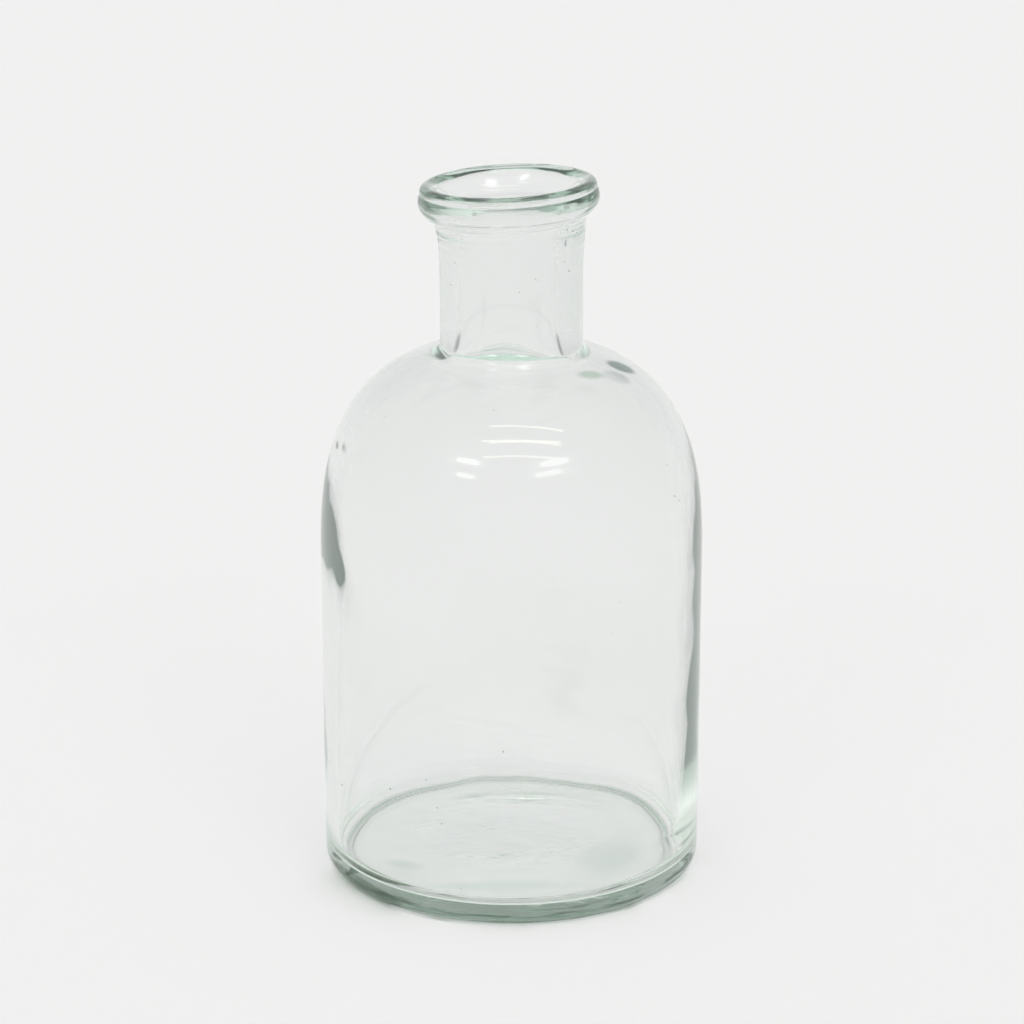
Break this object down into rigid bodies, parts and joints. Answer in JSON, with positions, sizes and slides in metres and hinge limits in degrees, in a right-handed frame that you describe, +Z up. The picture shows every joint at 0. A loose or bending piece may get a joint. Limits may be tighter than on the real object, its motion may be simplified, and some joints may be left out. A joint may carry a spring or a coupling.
{
  "type": "glass bud vase",
  "caption": "Stout clear glass bud vase: cylindrical body, rounded shoulder, short thick neck and a hand-tooled, slightly tilted lip.",
  "frame": {"origin": "centre of the footprint, on the surface that the vase stands on", "axes": "+Z up along the body's axis, out of the mouth; +X to the higher side of the tilted lip; -Y to the front"},
  "size_m": [0.075, 0.075, 0.1391],
  "materials": {
    "vessel_glass": "clear soda-lime glass with a faint sea-green cast",
    "base_glass": "clear glass, thick and uneven, so greener",
    "lip_glass": "clear glass, thick fire-polished bead, so greener"
  },
  "bodies": {
    "root": {"base": "base_glass", "body_wall": "vessel_glass", "shoulder": "vessel_glass", "neck": "vessel_glass", "lip_ring": "lip_glass"}
  },
  "joints": []
}
